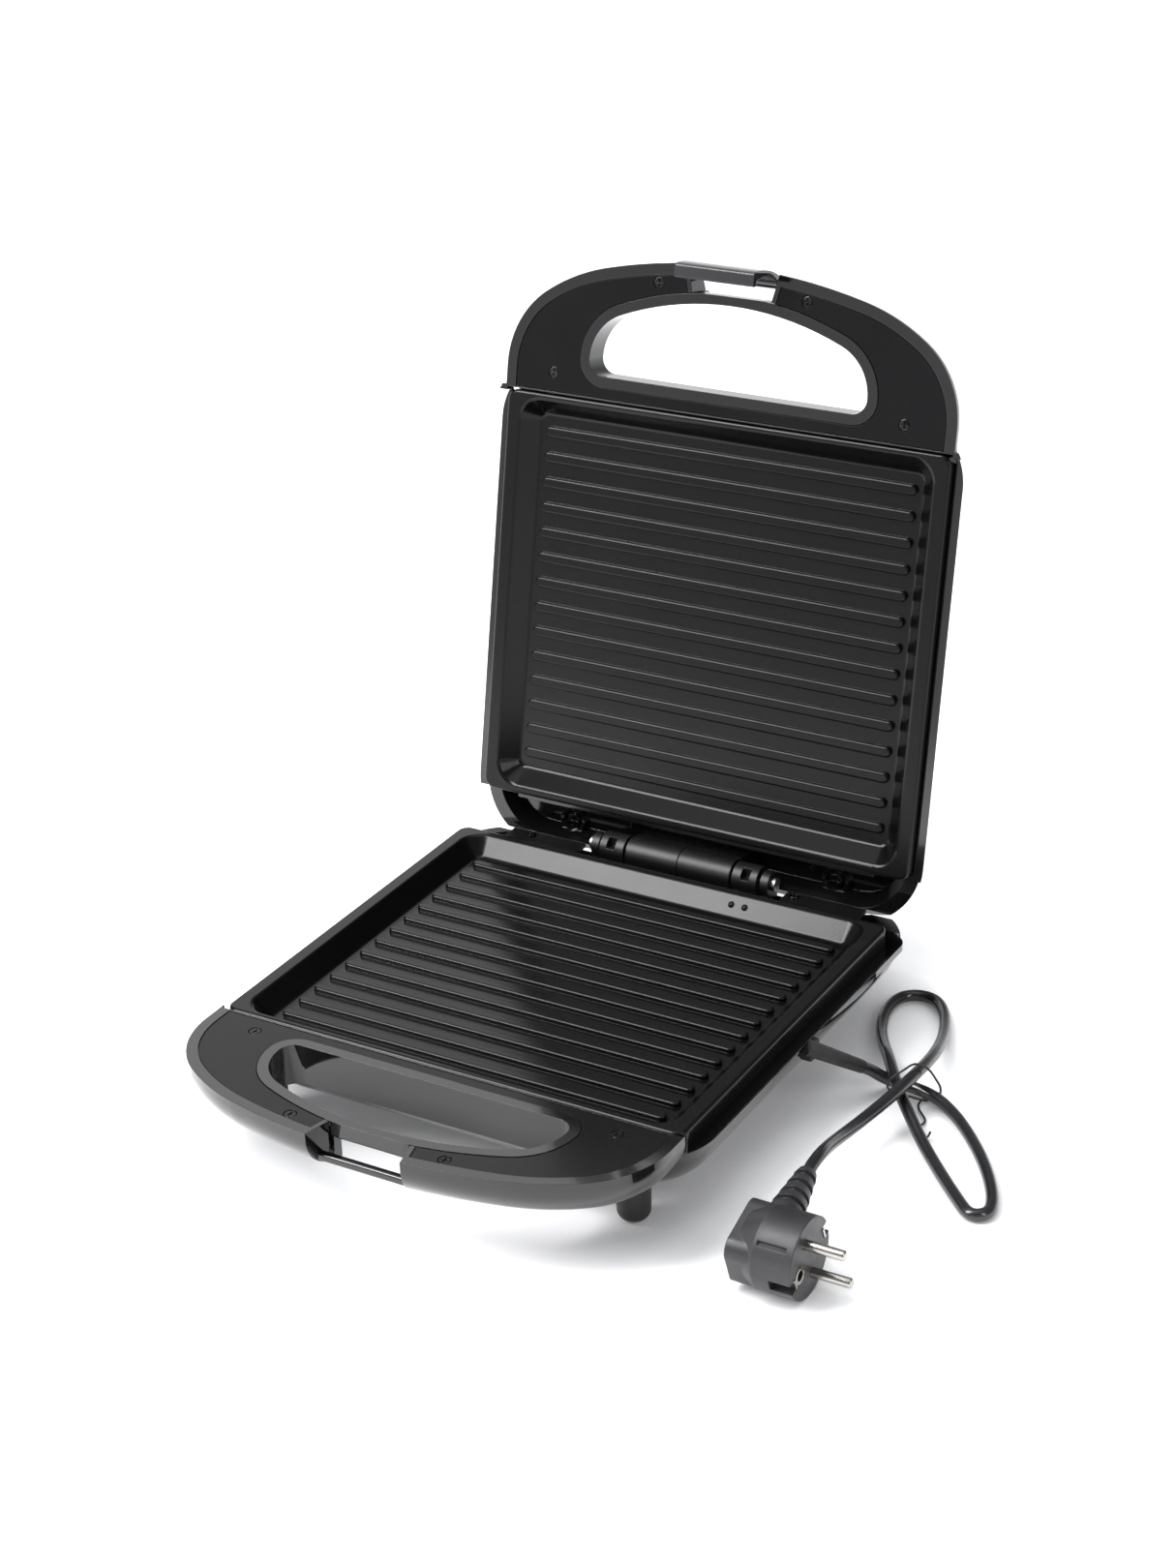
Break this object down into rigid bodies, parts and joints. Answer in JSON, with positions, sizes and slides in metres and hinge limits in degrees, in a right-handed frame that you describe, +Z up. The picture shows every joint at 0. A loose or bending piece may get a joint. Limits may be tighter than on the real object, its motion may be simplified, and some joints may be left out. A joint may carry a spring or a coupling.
{
  "type": "panini press",
  "caption": "Black sandwich press with ribbed non-stick plates, lid standing open on a rear hinge, looped D-shaped handles and a clip latch, with a bundled mains lead",
  "frame": {"origin": "centre of the footprint on the table", "axes": "+X runs to the right for someone facing the handles, +Y from the handles back to the hinge, +Z up"},
  "size_m": [0.3763, 0.386, 0.3542],
  "materials": {
    "gloss_black": "polished",
    "satin_black": "satin",
    "dark_screw": "blackened",
    "nonstick": "satin",
    "steel": "satin",
    "element_steel": "heat_tinted",
    "pan_steel": "satin",
    "ceramic": "matte",
    "white_plastic": "matte",
    "wire_jacket": "satin",
    "foot_rubber": "matte",
    "soft_black": "matte",
    "cord_jacket": "satin",
    "plug_black": "matte",
    "nickel": "polished",
    "tie_black": "satin",
    "lens_red": "polished",
    "lamp_glass": "polished",
    "latch_grey": "polished"
  },
  "bodies": {
    "base": {"base_housing": "gloss_black", "base_handle_trim": "satin_black", "base_trim_screws": "dark_screw", "lower_grill_plate": "nonstick", "lower_plate_screws": "steel", "lower_heating_element": "element_steel", "lower_reflector_pan": "pan_steel", "lower_thermostat": "ceramic", "thermal_fuse": "ceramic", "terminal_block": "white_plastic", "base_wires": "wire_jacket", "hinge_covers": "gloss_black", "hinge_cover_screws": "dark_screw", "hinge_pin": "steel", "latch_catch_bar": "gloss_black", "feet": "foot_rubber", "cord_gland": "soft_black", "power_cord": "cord_jacket", "plug_body": "plug_black", "plug_pins": "nickel", "plug_earth_contacts": "nickel", "twist_tie": "tie_black"},
    "lid": {"lid_housing": "gloss_black", "lid_handle_trim": "satin_black", "lid_trim_screws": "dark_screw", "upper_grill_plate": "nonstick", "upper_plate_screws": "steel", "upper_heating_element": "element_steel", "upper_reflector_pan": "pan_steel", "upper_thermostat": "ceramic", "lid_boss_screws": "dark_screw", "indicator_lenses": "lens_red", "neon_lamps": "lamp_glass", "lamp_wires": "wire_jacket", "latch_pin": "steel"},
    "latch": {"latch": "latch_grey"}
  },
  "joints": [
    {"name": "lid_hinge", "type": "hinge", "parent": "base", "child": "lid", "pos_m": [0, 0.11389, 0.04835], "axis": [1, 0, 0], "range_deg": [0, 101.8]},
    {"name": "latch_pivot", "type": "hinge", "parent": "lid", "child": "latch", "pos_m": [0, 0.18559, 0.34189], "axis": [1, 0, 0], "range_deg": [0, 6]}
  ]
}
